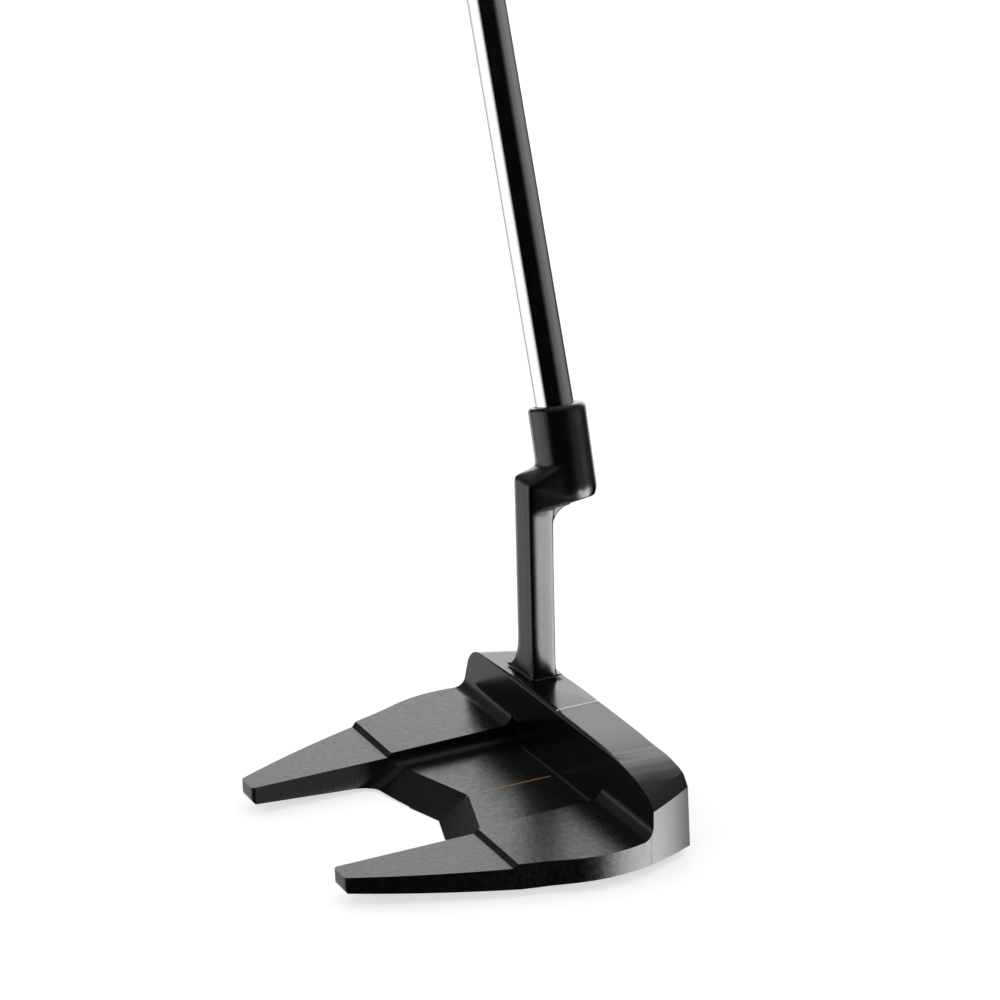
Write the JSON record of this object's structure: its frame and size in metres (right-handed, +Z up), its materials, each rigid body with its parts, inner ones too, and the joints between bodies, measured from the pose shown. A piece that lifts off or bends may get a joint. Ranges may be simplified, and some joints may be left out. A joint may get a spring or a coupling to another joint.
{
  "type": "golf putter",
  "caption": "Right-handed fang mallet putter with a plumber's neck, a stepped steel shaft and a flat-fronted rubber grip.",
  "frame": {"origin": "centre of the sole's flat pad, under the sight line, 21.5 mm behind the leading edge", "axes": "+X to the toe, +Y to the target, out of the face, +Z up; the club stands at address with its sole flat on the ground"},
  "size_m": [0.3468, 0.095, 0.8197],
  "materials": {
    "head_black": "fine blasted black plating over cast steel, satin",
    "white_enamel": "smooth paint fill",
    "gold_enamel": "smooth paint fill",
    "adhesive": "cured epoxy",
    "plug": "matte",
    "shaft_chrome": "bright chrome on steel",
    "tape": "woven double-sided tape",
    "grip_rubber": "matte with a fine pattern",
    "cap_rubber": "smooth matte"
  },
  "bodies": {
    "root": {"head": "head_black", "top_sight_line": "white_enamel", "cavity_sight_line": "gold_enamel", "shaft_bond": "adhesive", "shaft_plug": "plug", "shaft": "shaft_chrome", "grip_tape": "tape", "grip": "grip_rubber", "grip_cap": "cap_rubber"}
  },
  "joints": []
}
